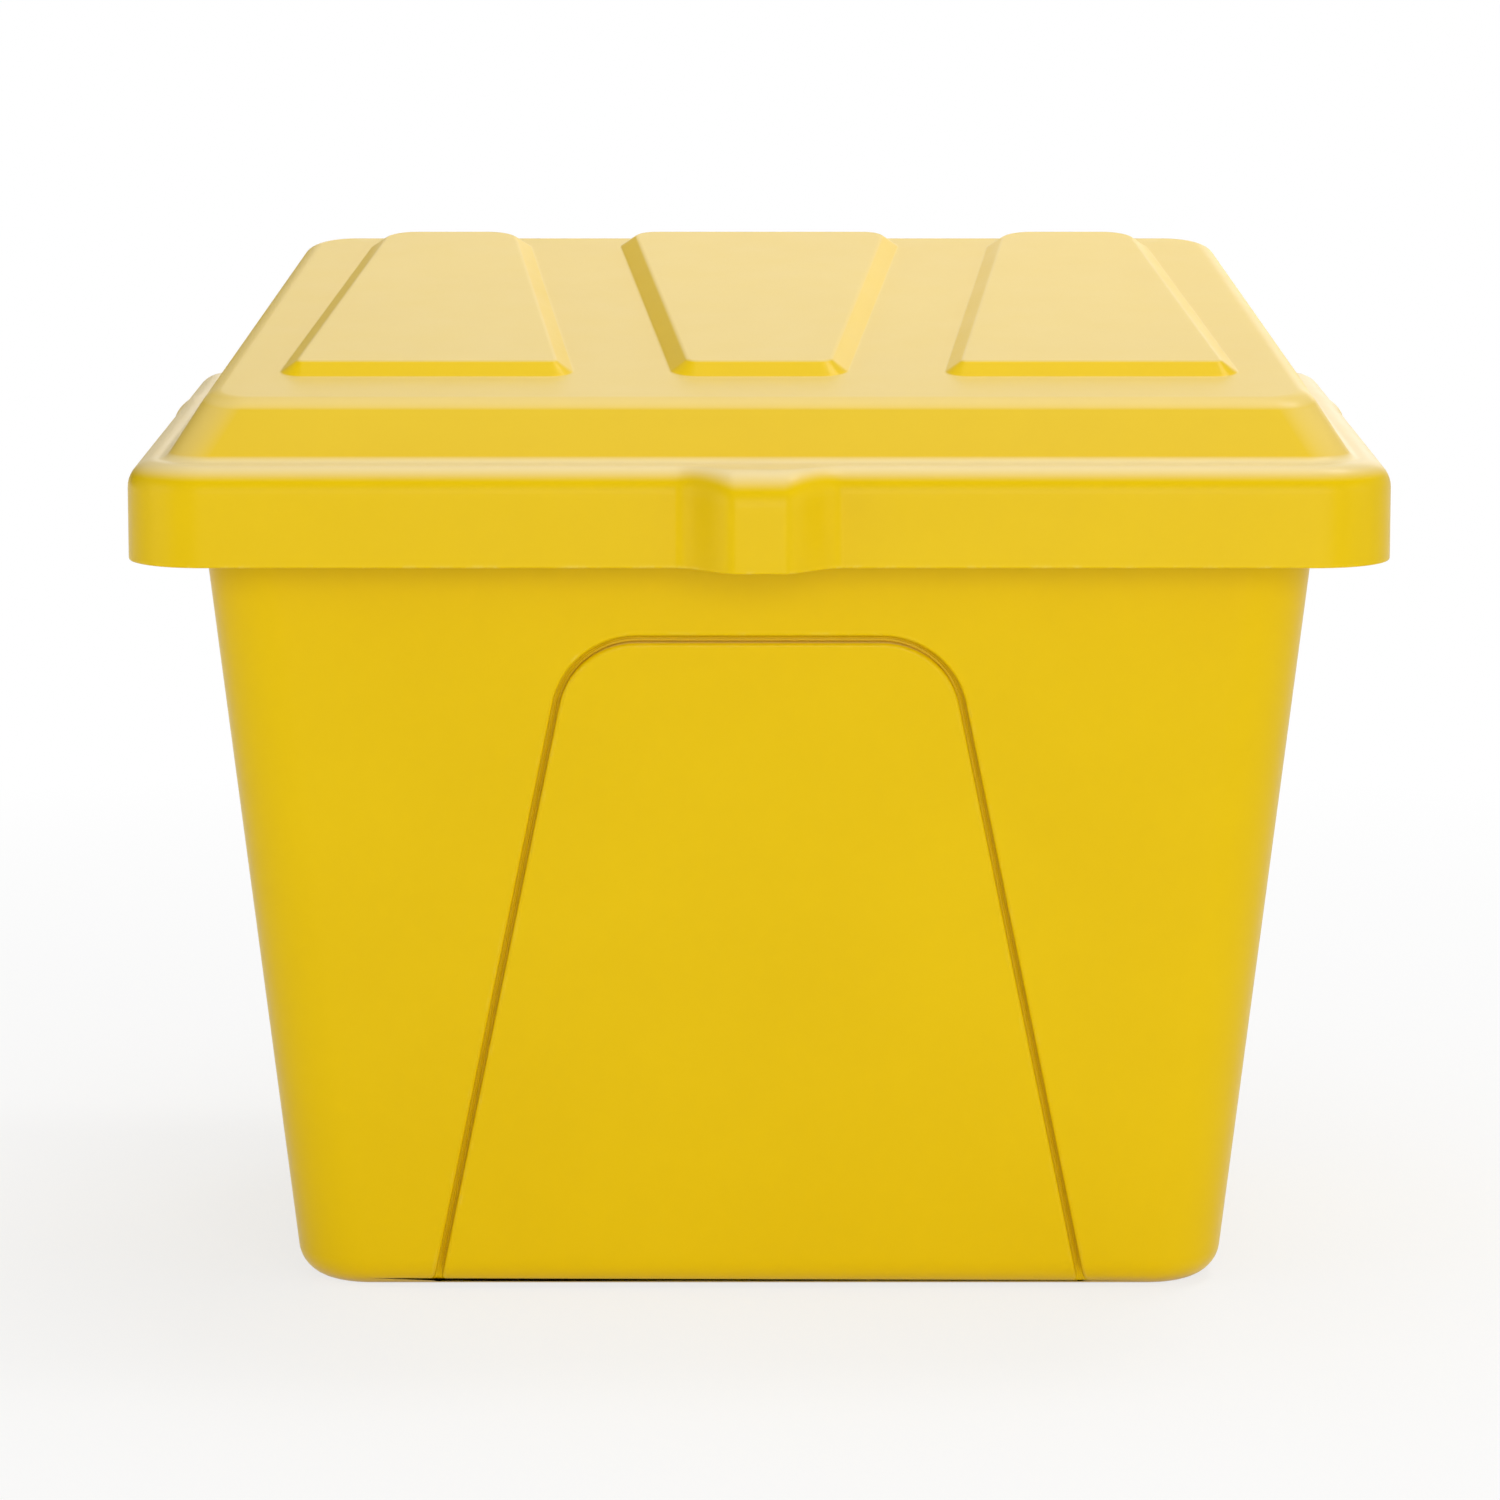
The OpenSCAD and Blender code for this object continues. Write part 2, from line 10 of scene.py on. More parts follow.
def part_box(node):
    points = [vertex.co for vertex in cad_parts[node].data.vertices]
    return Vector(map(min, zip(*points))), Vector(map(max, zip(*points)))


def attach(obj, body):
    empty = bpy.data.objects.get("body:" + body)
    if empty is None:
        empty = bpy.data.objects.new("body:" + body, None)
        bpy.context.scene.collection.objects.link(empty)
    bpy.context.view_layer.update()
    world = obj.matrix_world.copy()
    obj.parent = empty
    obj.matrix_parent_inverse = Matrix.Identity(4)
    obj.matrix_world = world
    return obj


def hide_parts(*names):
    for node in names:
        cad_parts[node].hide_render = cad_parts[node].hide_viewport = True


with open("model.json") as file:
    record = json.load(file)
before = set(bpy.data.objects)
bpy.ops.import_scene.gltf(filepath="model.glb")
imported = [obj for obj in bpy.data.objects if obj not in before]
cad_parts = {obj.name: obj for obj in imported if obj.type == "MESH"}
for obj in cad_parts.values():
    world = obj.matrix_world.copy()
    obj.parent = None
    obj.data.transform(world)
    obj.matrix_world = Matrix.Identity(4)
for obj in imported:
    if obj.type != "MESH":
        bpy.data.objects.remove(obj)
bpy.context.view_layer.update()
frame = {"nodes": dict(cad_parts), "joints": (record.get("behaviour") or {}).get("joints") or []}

bl_info = {
    "name": "Lidded Storage Bin",
    "version": (1, 0, 0),
    "blender": (4, 5, 0),
    "location": "View3D > Sidebar > Storage Bin",
    "description": "Builds a moulded storage bin with a hinged, skirted lid round its packed frame",
    "category": "Add Mesh",
}

# Places that the frame gives
TUB_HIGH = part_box("bin_body")[1]
LID_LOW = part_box("lid")[0]
LEAF_LOW, LEAF_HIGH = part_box("right_hinge_body_leaf")
PIN = Vector(frame["joints"][0]["pos_m"])
OPEN_ANGLE = radians(frame["joints"][0]["range_deg"][1])
HINGE_X = (LEAF_LOW.x + LEAF_HIGH.x) / 2
HINGE_PLANE = LEAF_LOW.y
LID_BOLTS = [f"{side}_lid_leaf_bolts" for side in ("left", "right")]
BODY_BOLTS = [f"{side}_body_leaf_bolts" for side in ("left", "right")]

# Distances in metres
MERGE = 1e-6  # points closer than this are one
NEAR = 1e-5  # places closer than this line up
OVERLAP = 0.002  # how far a joined block reaches into the wall
CUTTER = 0.030  # length of the cutter of a bolt hole
FADE = 0.007  # above and below the front crest, where the stronger painted highlight round the ledge fades out
FLOOR = 30.0  # half of the floor's width

# Tests that pick faces and edges
WIDE = 8  # a face with more corners than this is a cap
LEVEL = 0.9  # least upward part of a level face's normal
CREASE = 0.3  # least angle in radians across an edge that is rounded
BACK = 0.2  # least place y of the middle of a face in the tub's back wall
BASE_BAND = 0.05  # such a face lies this far above the base
RIM_BAND = 0.02  # and this far below the top of the rim

# Place, aim, width and height of each lamp
LAMPS = {
    "key": ((0.7, -4.6, 1.1), (0, 0, 0.35), (3.0, 2.6)),
    "overhead": ((0.1, 0.3, 3.0), (0.1, 0.3, 0.5), (1.5, 3.4)),
    "back": ((0.45, 3.0, 1.9), (0.3, 0, 0.6), (2.6, 2.8)),
    "side": ((1.3, 2.7, 1.35), (0, 0, 0.6), (1.0, 1.0)),
    "left_fill": ((-3.0, -1.4, 0.9), (0, 0, 0.4), (1.8, 1.6)),
    "right_fill": ((3.0, -1.4, 0.9), (0, 0, 0.4), (1.8, 1.6)),
    "glint": ((1.2, 0.35, 3.0), (0, 0, 0.6), (0.6, 0.6)),
}

# Direction of the dim back corner of the surroundings
DARK_CORNER = Vector((-0.6, 0.75, 0.35)).normalized()


def length(name, description, default):
    """A size in metres."""
    return FloatProperty(name=name, description=description, default=default, unit="LENGTH", precision=4)


def turn(name, description, default):
    """An angle, given in degrees."""
    return FloatProperty(name=name, description=description, default=radians(default), unit="ROTATION")


def power(name, description, default):
    """Power of a lamp in watts."""
    return FloatProperty(name=name, description=description, default=default, unit="POWER")


def number(name, description, default):
    """A value without a unit, such as a share."""
    return FloatProperty(name=name, description=description, default=default)


def tint(name, description, default):
    """A linear colour."""
    return FloatVectorProperty(name=name, description=description, default=default, subtype="COLOR",
                               size=3, min=0.0, max=1.0)


class LidSizes(bpy.types.PropertyGroup):
    """Sizes of the lid"""
    width: length("Width", "Across the skirt", 0.840)
    depth: length("Depth", "Across the skirt, without the nose", 0.642)
    ledge_z: length("Ledge height", "Level of the ledge above the base", 0.580)
    corner: length("Corner", "Corner radius of the skirt, seen from above", 0.052)
    shoulder: length("Shoulder", "Rounding between the skirt and the ledge", 0.0185)
    ledge: length("Ledge width", "From the skirt's face to the foot of the raised wall", 0.025)
    wall: length("Wall", "Moulded wall", 0.005)
    rise_front: length("Front rise", "Raised top above the ledge at its front", 0.0395)
    rise_back: length("Back rise", "Raised top above the ledge at its back", 0.1065)
    wall_angle: turn("Wall angle", "Raised wall from the level", 57)
    raised_corner: length("Raised corner", "Corner radius of the raised wall", 0.026)
    foot: length("Foot", "Rounding at the foot of the raised wall", 0.010)
    crest: length("Crest", "Rounding along the crest of the raised wall", 0.016)
    edge: length("Edge", "Rounding of the skirt's lower edge", 0.0012)


class PadSizes(bpy.types.PropertyGroup):
    """Sizes of the three pads on the raised top"""
    height: length("Height", "Above the raised top", 0.0085)
    bevel: length("Bevel", "Level run of the sloping edge", 0.012)
    front_gap: length("Front gap", "From the front crest to the pads", 0.061)
    back_gap: length("Back gap", "From the back crest to the pads", 0.0095)
    side_front: length("Side gap, front", "From the side crest to the outer pads, at their front", 0.038)
    side_back: length("Side gap, back", "From the side crest to the outer pads, at their back", 0.045)
    channel: length("Channel", "Width of the channels between the pads", 0.063)
    channel_front: length("Channel, front", "From the middle to a channel's middle, at the front", 0.091)
    channel_back: length("Channel, back", "From the middle to a channel's middle, at the back", 0.137)
    front_corner: length("Front corner", "Corner radius at the front", 0.0185)
    back_corner: length("Back corner", "Corner radius at the back", 0.030)
    foot: length("Foot", "Rounding at the foot", 0.003)
    crest: length("Crest", "Rounding along the top edge", 0.006)


class NoseSizes(bpy.types.PropertyGroup):
    """Sizes of the lifting nose and of the shallow swelling on each side"""
    width: length("Nose width", "Along the skirt", 0.112)
    reach: length("Nose reach", "Out of the skirt", 0.030)
    flank: length("Flank", "Width of each curved flank", 0.041)
    shoulder: length("Nose shoulder", "Rounding along the nose's top", 0.024)
    columns: IntProperty(name="Columns", description="Columns of faces across the nose", default=64, min=8)
    swell_length: length("Swelling length", "Along the side of the skirt", 0.084)
    swell_reach: length("Swelling reach", "Out of the skirt", 0.0016)
    swell_back: length("Swelling place", "From the skirt's front to the swelling's middle", 0.426)
    swell_columns: IntProperty(name="Swelling columns", description="Columns of faces along it", default=16)


class TubSizes(bpy.types.PropertyGroup):
    """Sizes of the tub"""
    overhang: length("Overhang", "Skirt past the tub's wall, at the skirt's lower edge", 0.0478)
    draft: turn("Draft", "Lean of the walls from upright", 6.2)
    corner: length("Corner", "Corner radius, seen from above", 0.050)
    base_edge: length("Base edge", "Rounding round the base", 0.024)
    wall: length("Wall", "Moulded wall", 0.005)
    lip: length("Lip", "Depth of the lip that turns down from the rim", 0.018)
    rim_gap: length("Rim gap", "Between the rim's lip and the skirt's face", 0.014)
    mouth: length("Mouth", "Rounding under the rim's inner edge", 0.003)
    turn: length("Turn", "Rounding under the rim's outer edge", 0.001)
    edge: length("Edge", "Rounding of the lip's free edge", 0.0012)


class GrooveSizes(bpy.types.PropertyGroup):
    """Sizes of the arched groove on the tub's front"""
    height: length("Height", "From the base to the groove's top run, up the wall", 0.4603)
    foot_x: length("Foot", "Half of the arch's width at the base", 0.222)
    top_x: length("Top", "Half of the arch's width at the top, before rounding", 0.127)
    corner: length("Corner", "Corner radius of the arch", 0.056)
    radius: length("Radius", "Radius of the groove's round bottom", 0.0008)
    mouth: length("Mouth", "Half width of the groove at the wall's face", 0.0017)
    depth: length("Depth", "Depth under the wall's face", 0.0080)
    lip: length("Lip", "Rounding of the groove's edges", 0.0030)
    tail: length("Tail", "Length of the groove's ridge on the base", 0.015)
    backing: number("Backing", "Ridge behind the groove, as a share of the wall", 0.8)


class BracketSizes(bpy.types.PropertyGroup):
    """Sizes of the moulded hinge brackets and lid stops on the back"""
    margin: length("Margin", "Of the bracket below the leaf", 0.006)
    side_play: length("Side play", "Between the leaf and a stop", 0.004)
    top_gap: length("Top gap", "From the skirt's lower edge to the bracket", 0.006)
    slope: number("Slope", "Height over reach of the underside", 1.3)
    edge: length("Edge", "Rounding of the bracket's edges", 0.003)
    stop_width: length("Stop width", "Width of each lid stop", 0.016)
    stop_foot: length("Stop foot", "From the bracket's lower edge up to a stop", 0.008)
    stop_reach: length("Stop reach", "Behind the hinge plane", 0.030)
    stop_play: length("Stop play", "Between a stop and the open lid", 0.0003)
    stop_edge: length("Stop edge", "Rounding of a stop's edges", 0.0015)
    hole: length("Bolt hole", "Radius of the holes for the hinge bolts", 0.0033)


class Finishes(bpy.types.PropertyGroup):
    """Colours of the bin"""
    yellow: tint("Yellow", "Moulded plastic", (0.80, 0.54, 0.0))
    deep_yellow: tint("Deep yellow", "Darker clouds in the plastic", (0.78, 0.52, 0.0))
    # Painted shade: darker colour where the surroundings close in, in creases and the groove
    painted_shade: tint("Grime", "Dulled plastic in creases", (0.68, 0.44, 0.0))
    scuff: tint("Scuff", "Rubbed edges", (0.88, 0.70, 0.16))
    # Painted sheen: pale colour on faces that look up, standing in for their reflection, and a painted
    # highlight round the ledge
    painted_sheen: tint("Bloom", "Chalky bloom on faces that look up", (0.84, 0.70, 0.40))
    zinc: tint("Zinc", "Plated hinge leaves", (0.60, 0.61, 0.60))
    steel: tint("Steel", "Pins and fasteners", (0.52, 0.53, 0.55))
    floor: tint("Floor", "Floor and backdrop", (0.92, 0.92, 0.92))


class StageSettings(bpy.types.PropertyGroup):
    """Camera and light"""
    camera_y: length("Camera distance", "In front of the origin", 4.5817)
    camera_z: length("Camera height", "Above the floor", 1.0862)
    pitch: turn("Pitch", "Of the camera, below the level", 9.255)
    lens: FloatProperty(name="Lens", description="Focal length", default=156.6, unit="CAMERA")
    shift: number("Shift", "Sideways shift of the picture", -0.00617)
    horizon: number("Horizon", "Strength of the surrounding light, low down", 0.85)
    zenith: number("Zenith", "Strength of the surrounding light, overhead", 0.10)
    corner: number("Corner", "Share of it that is left behind on the left", 0.12)
    key: power("Key", "Power of the large light in front", 80.0)
    overhead: power("Overhead", "Power of the light above", 36.0)
    back: power("Back", "Power of the light behind", 14.0)
    side: power("Side", "Power of the light behind on the right", 2.0)
    left_fill: power("Left fill", "Power of the light on the left", 14.0)
    right_fill: power("Right fill", "Power of the light on the right", 9.0)
    glint: power("Glint", "Power of the small light above on the right", 18.0)


# Modelling helpers

def round_edges(bm, edges, width, segments):
    """Rounds edges over a width on each of their faces."""
    bmesh.ops.bevel(bm, geom=edges, offset=width, offset_type="OFFSET", segments=segments, profile=0.5,
                    affect="EDGES", material=-1, clamp_overlap=False, loop_slide=True)


def round_corners(bm, corners, radius, segments):
    """Rounds the corners of a face."""
    bmesh.ops.bevel(bm, geom=corners, offset=radius, offset_type="OFFSET", segments=segments, profile=0.5,
                    affect="VERTICES", material=-1, clamp_overlap=False)


def tangent(radius, angle):
    """Distance from a corner to where an arc of that radius meets its sides, which turn by the angle."""
    return radius * tan(angle / 2)


def level_edges(bm, z):
    """Edges that lie at one level."""
    return [e for e in bm.edges if all(abs(v.co.z - z) < NEAR for v in e.verts)]


def widest_face(bm):
    """The face with the most corners."""
    return max(bm.faces, key=lambda f: len(f.verts))


def frustum(bm, low, high):
    """Block with these low and high corners, each the (x, y, z) of the front right and the back right."""
    verts = bmesh.ops.create_cube(bm, size=2.0)["verts"]
    for v in verts:
        x, y, z = (high if v.co.z > 0 else low)[v.co.y > 0]
        v.co = (x * v.co.x, y, z)
    return verts


def joining(verts):
    """Edges of a block that run from its low corners to its high ones."""
    upper = set(sorted(verts, key=lambda v: v.co.z)[4:])
    return [e for e in {e for v in verts for e in v.link_edges}
            if (e.verts[0] in upper) != (e.verts[1] in upper)]


def soft_step(run, height, foot, crest, count):
    """Returns the run and rise of each small step up a slope with a rounded foot and crest."""
    slope = atan2(height, run)
    angles = [slope * i / count for i in range(count + 1)]
    top = tangent(foot, slope) + run + tangent(crest, slope)
    points = [(foot * sin(a), foot * (1 - cos(a))) for a in angles]
    points += [(top - crest * sin(a), height - crest * (1 - cos(a))) for a in reversed(angles)]
    return [(b[0] - a[0], b[1] - a[1]) for a, b in zip(points, points[1:])]


def ease(t):
    """Smooth step from 0 to 1."""
    t = min(1.0, max(0.0, t))
    return t * t * (3 - 2 * t)


def cut_columns(bm, faces, axis, places):
    """Cuts the faces that the test picks at each place along an axis."""
    for place in places:
        chosen = [f for f in bm.faces if faces(f.calc_center_median())]
        edges = {e for f in chosen for e in f.edges}
        verts = {v for f in chosen for v in f.verts}
        bmesh.ops.bisect_plane(bm, geom=[*verts, *edges, *chosen], dist=MERGE,
                               plane_co=axis * place, plane_no=axis)


def spread(middle, width, count):
    """Evenly spaced places over a width."""
    return [middle + width * (i / count - 0.5) for i in range(count + 1)]


def as_object(bm, name):
    """Turns a bmesh into an object of the scene."""
    bmesh.ops.remove_doubles(bm, verts=bm.verts, dist=MERGE)
    bmesh.ops.recalc_face_normals(bm, faces=bm.faces)
    if bm.calc_volume(signed=True) < 0:
        bmesh.ops.reverse_faces(bm, faces=bm.faces)
    mesh = bpy.data.meshes.new(name)
    bm.to_mesh(mesh)
    bm.free()
    piece = bpy.data.objects.new(name, mesh)
    bpy.context.scene.collection.objects.link(piece)
    return piece


def bake_modifiers(piece):
    """Applies the piece's modifiers to its mesh."""
    graph = bpy.context.evaluated_depsgraph_get()
    mesh = bpy.data.meshes.new_from_object(piece.evaluated_get(graph))
    old = piece.data
    piece.modifiers.clear()
    piece.data = mesh
    mesh.name = old.name
    bpy.data.meshes.remove(old)


def thicken(piece, wall, edge):
    """Gives a moulded skin its wall, on the inside, and rounds its free edges."""
    skin = piece.modifiers.new("wall", "SOLIDIFY")
    skin.thickness = wall
    skin.offset = -1.0
    skin.use_even_offset = True
    skin.use_quality_normals = True
    soft = piece.modifiers.new("edge", "BEVEL")
    soft.width = edge
    soft.segments = 3
    soft.limit_method = "ANGLE"
    soft.angle_limit = radians(60)
    bake_modifiers(piece)


def combine(piece, other, operation):
    """Joins another solid to the piece, or cuts it out."""
    work = piece.modifiers.new(operation.lower(), "BOOLEAN")
    work.operation = operation
    work.solver = "EXACT"
    work.object = other
    bake_modifiers(piece)
    mesh = other.data
    bpy.data.objects.remove(other)
    bpy.data.meshes.remove(mesh)


def check_closed(piece):
    """Raises an error unless every edge of the piece joins two faces."""
    bm = bmesh.new()
    bm.from_mesh(piece.data)
    loose = sum(not e.is_manifold for e in bm.edges)
    bm.free()
    if loose:
        raise RuntimeError(f"{piece.name} isn't closed: {loose} edges don't join two faces")


def shade(piece, material):
    """Smooth shading that keeps flats flat, and the material."""
    piece.data.polygons.foreach_set("use_smooth", [True] * len(piece.data.polygons))
    piece.data.set_sharp_from_angle(angle=radians(40))
    flats = piece.modifiers.new("flats", "WEIGHTED_NORMAL")
    flats.keep_sharp = True
    flats.weight = 90
    piece.data.materials.clear()
    piece.data.materials.append(material)


# Lid

def rise_at(lid, y):
    """Height of the raised top above the ledge at a place y."""
    front, back = crest_ends(lid)
    return lid.rise_front + (lid.rise_back - lid.rise_front) * (y - front) / (back - front)


def crest_ends(lid):
    """Places y of the front and back crest."""
    run = 1 / tan(lid.wall_angle)
    foot = lid.depth / 2 - lid.ledge
    return run * lid.rise_front - foot, foot - run * lid.rise_back


def crest_x(lid, y):
    """Half width of the raised top at a place y."""
    return lid.width / 2 - lid.ledge - rise_at(lid, y) / tan(lid.wall_angle)


def skirt_band(bm, lid):
    """Skirt with rounded corners and shoulder, open above and below."""
    half_x, half_y = lid.width / 2, lid.depth / 2
    verts = frustum(bm, [(half_x, -half_y, LID_LOW.z), (half_x, half_y, LID_LOW.z)],
                    [(half_x, -half_y, lid.ledge_z), (half_x, half_y, lid.ledge_z)])
    round_edges(bm, joining(verts), lid.corner, segments=16)
    round_edges(bm, level_edges(bm, lid.ledge_z), lid.shoulder, segments=10)
    bmesh.ops.delete(bm, geom=[f for f in bm.faces if len(f.verts) > WIDE], context="FACES_ONLY")


def raised_block(bm, lid):
    """Raised wall with rounded hips and crest, open below. Returns the face of the raised top."""
    front, back = crest_ends(lid)
    foot_x, foot_y = lid.width / 2 - lid.ledge, lid.depth / 2 - lid.ledge
    before = set(bm.faces)
    verts = frustum(bm, [(foot_x, -foot_y, lid.ledge_z), (foot_x, foot_y, lid.ledge_z)],
                    [(crest_x(lid, front), front, lid.ledge_z + lid.rise_front),
                     (crest_x(lid, back), back, lid.ledge_z + lid.rise_back)])
    round_edges(bm, joining(verts), lid.raised_corner, segments=16)
    bm.normal_update()
    wide = [f for f in bm.faces if f not in before and len(f.verts) > WIDE]
    bottom, top = sorted(wide, key=lambda f: f.normal.z)
    bmesh.ops.delete(bm, geom=[bottom], context="FACES_ONLY")
    round_edges(bm, list(top.edges), tangent(lid.crest, lid.wall_angle), segments=8)
    return widest_face(bm)


def ledge(bm, lid):
    """Flat ledge between the shoulder and the raised wall, with a rounded foot."""
    loops = [e for e in level_edges(bm, lid.ledge_z) if e.is_boundary]
    bmesh.ops.bridge_loops(bm, edges=loops)
    bm.normal_update()
    foot = [e for e in level_edges(bm, lid.ledge_z) if min(f.normal.z for f in e.link_faces) < LEVEL]
    round_edges(bm, foot, tangent(lid.foot, lid.wall_angle), segments=6)


def pad_corners(lid, pads):
    """Corners of the three pads' feet, each from the front left round to the back left."""
    front, back = crest_ends(lid)
    front += pads.front_gap
    back -= pads.back_gap
    half = pads.channel / 2
    outer_front = crest_x(lid, front) - pads.side_front
    outer_back = crest_x(lid, back) - pads.side_back
    spans = [(-outer_front, -pads.channel_front - half, -outer_back, -pads.channel_back - half),
             (-pads.channel_front + half, pads.channel_front - half,
              -pads.channel_back + half, pads.channel_back - half),
             (pads.channel_front + half, outer_front, pads.channel_back + half, outer_back)]
    return [[(a, front), (b, front), (d, back), (c, back)] for a, b, c, d in spans]


def pad(bm, lid, pads, corners):
    """One pad on the raised top. Returns the edges of its foot."""
    others = set(bm.faces)
    verts = [bm.verts.new((x, y, lid.ledge_z + rise_at(lid, y))) for x, y in corners]
    bm.faces.new(verts)
    round_corners(bm, verts[:2], pads.front_corner, segments=8)
    round_corners(bm, verts[2:], pads.back_corner, segments=12)
    face = next(f for f in bm.faces if f not in others)
    for run, up in soft_step(pads.bevel, pads.height, pads.foot, pads.crest, count=5):
        bmesh.ops.inset_individual(bm, faces=[face], thickness=run, depth=up, use_even_offset=True)
    return [e for f in bm.faces if f not in others for e in f.edges if e.is_boundary]


def padded_top(bm, lid, pads, top):
    """Raised top with its three pads."""
    normal = top.normal.copy()
    rim = list(top.edges)
    bmesh.ops.delete(bm, geom=[top], context="FACES_ONLY")
    feet = [e for corners in pad_corners(lid, pads) for e in pad(bm, lid, pads, corners)]
    bmesh.ops.triangle_fill(bm, edges=rim + feet, use_beauty=True, normal=normal)


def grow_nose(bm, lid, nose):
    """Draws the lifting nose out of the front of the skirt."""
    front = -lid.depth / 2
    reach_in = lid.shoulder + NEAR
    cut_columns(bm, lambda c: c.y < front + lid.ledge and c.z < lid.ledge_z + NEAR, Vector((1, 0, 0)),
                spread(0.0, nose.width, nose.columns))
    for v in bm.verts:
        out = ease((nose.width / 2 - abs(v.co.x)) / nose.flank)
        inset = v.co.y - front
        if out == 0 or inset > reach_in:
            continue
        grown = 1 + out * (nose.shoulder / lid.shoulder - 1)
        v.co.y = front - out * nose.reach + inset * grown
        if v.co.z > LID_LOW.z + NEAR:
            v.co.z = lid.ledge_z - (lid.ledge_z - v.co.z) * grown


def swell_sides(bm, lid, nose):
    """Draws a shallow swelling out of each side of the skirt."""
    middle = nose.swell_back - lid.depth / 2
    inner = lid.width / 2 - lid.shoulder - NEAR
    cut_columns(bm, lambda c: abs(c.x) > lid.width / 2 - lid.ledge and c.z < lid.ledge_z + NEAR,
                Vector((0, 1, 0)), spread(middle, nose.swell_length, nose.swell_columns))
    for v in bm.verts:
        away = abs(v.co.y - middle) / (nose.swell_length / 2)
        if away < 1 and abs(v.co.x) > inner:
            v.co.x += (1 if v.co.x > 0 else -1) * nose.swell_reach * (1 + cos(pi * away)) / 2


def bolt_holes(nodes, radius):
    """Cutter for the holes of the bolts in these nodes."""
    bm = bmesh.new()
    for node in nodes:
        low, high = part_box(node)
        head = high.z - low.z
        for x in (low.x + head / 2, (low.x + high.x) / 2, high.x - head / 2):
            middle = Vector((x, HINGE_PLANE, (low.z + high.z) / 2))
            lying = Matrix.Translation(middle) @ Matrix.Rotation(pi / 2, 4, "X")
            bmesh.ops.create_cone(bm, cap_ends=True, segments=32, radius1=radius, radius2=radius,
                                  depth=CUTTER, matrix=lying)
    return as_object(bm, "bolt_holes")


def build_lid(settings):
    """Lid shell: skirt, ledge, raised top with pads, nose and swellings."""
    lid, pads, nose = settings.bin_lid, settings.bin_pads, settings.bin_nose
    bm = bmesh.new()
    skirt_band(bm, lid)
    top = raised_block(bm, lid)
    padded_top(bm, lid, pads, top)
    ledge(bm, lid)
    grow_nose(bm, lid, nose)
    swell_sides(bm, lid, nose)
    piece = as_object(bm, "moulded_lid")
    thicken(piece, lid.wall, lid.edge)
    combine(piece, bolt_holes(LID_BOLTS, settings.bin_brackets.hole), "DIFFERENCE")
    return piece


# Tub

def tub_half(lid, tub, z):
    """Half width and half depth of the tub's outside at a height."""
    lean = (LID_LOW.z - z) * tan(tub.draft) + tub.overhang
    return lid.width / 2 - lean, lid.depth / 2 - lean


def tub_skin(bm, lid, tub):
    """Outside of the tub, from its base up to the underside of its rim and its lip."""
    under = TUB_HIGH.z - tub.wall
    low_x, low_y = tub_half(lid, tub, 0.0)
    high_x, high_y = tub_half(lid, tub, under)
    verts = frustum(bm, [(low_x, -low_y, 0.0), (low_x, low_y, 0.0)],
                    [(high_x, -high_y, under), (high_x, high_y, under)])
    round_edges(bm, joining(verts), tub.corner, segments=16)
    round_edges(bm, level_edges(bm, 0.0), tangent(tub.base_edge, pi / 2 - tub.draft), segments=10)
    caps = [f for f in bm.faces if len(f.verts) > WIDE and f.calc_center_median().z > under / 2]
    bmesh.ops.delete(bm, geom=caps, context="FACES_ONLY")


def rim(bm, lid, tub):
    """Rim that turns out from the wall and down into a lip."""
    under = TUB_HIGH.z - tub.wall
    width = lid.width / 2 - tub.rim_gap - tub.wall - tub_half(lid, tub, under)[0]
    mouth = ring = [e for e in bm.edges if e.is_boundary]
    bm.normal_update()
    for out, down in ((width, 0.0), (0.0, tub.lip - tub.wall)):
        outward = {v: Vector((v.normal.x, v.normal.y, 0)).normalized() for e in ring for v in e.verts}
        grown = bmesh.ops.extrude_edge_only(bm, edges=ring)["geom"]
        for v in [g for g in grown if isinstance(g, bmesh.types.BMVert)]:
            root = next(e.other_vert(v) for e in v.link_edges if e.other_vert(v) in outward)
            v.co += outward[root] * out - Vector((0, 0, down))
        turned = ring
        ring = [g for g in grown if isinstance(g, bmesh.types.BMEdge) and g.is_boundary]
    round_edges(bm, turned, tub.turn, segments=3)
    round_edges(bm, [e for e in mouth if e.is_valid], tub.mouth, segments=5)


